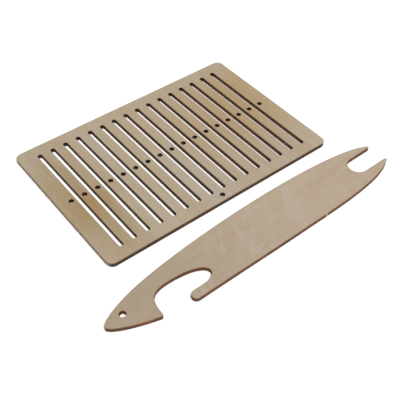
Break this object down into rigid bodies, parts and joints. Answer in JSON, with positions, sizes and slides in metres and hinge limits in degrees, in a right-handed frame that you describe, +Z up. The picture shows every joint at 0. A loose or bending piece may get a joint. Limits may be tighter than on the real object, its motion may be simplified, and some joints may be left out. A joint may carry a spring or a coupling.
{
  "type": "loom",
  "caption": "Small hand-weaving set: a slotted rigid heddle plate with warp eyes and a hooked, forked stick shuttle, both laser-cut from birch plywood.",
  "frame": {"origin": "middle of the rectangle that the two boards cover, on the surface they lie on", "axes": "+X along the heddle's long side, from the shuttle's nose towards its fork; +Y along the heddle's slots, away from the shuttle; +Z up, out of the boards' face veneers"},
  "size_m": [0.2238, 0.1704, 0.003],
  "materials": {
    "heddle_veneer": "bare sanded birch face veneer, grey-tan, fine grain along the slots, faint scorch beside the cuts",
    "heddle_core": "laser-charred edge of the cross-grained birch core veneer, dark brown",
    "shuttle_veneer": "bare sanded birch face veneer, slightly pinker, pale wavy flecks along the board",
    "shuttle_core": "laser-charred edge of the cross-grained birch core veneer, red-brown"
  },
  "bodies": {
    "heddle": {"heddle_back_ply": "heddle_veneer", "heddle_core_ply": "heddle_core", "heddle_face_ply": "heddle_veneer"},
    "shuttle": {"shuttle_back_ply": "shuttle_veneer", "shuttle_core_ply": "shuttle_core", "shuttle_face_ply": "shuttle_veneer"}
  },
  "joints": [
    {"name": "shuttle_throw", "type": "slide", "parent": "heddle", "child": "shuttle", "axis": [1, 0, 0], "range_m": [-0.195, 0.195]}
  ]
}
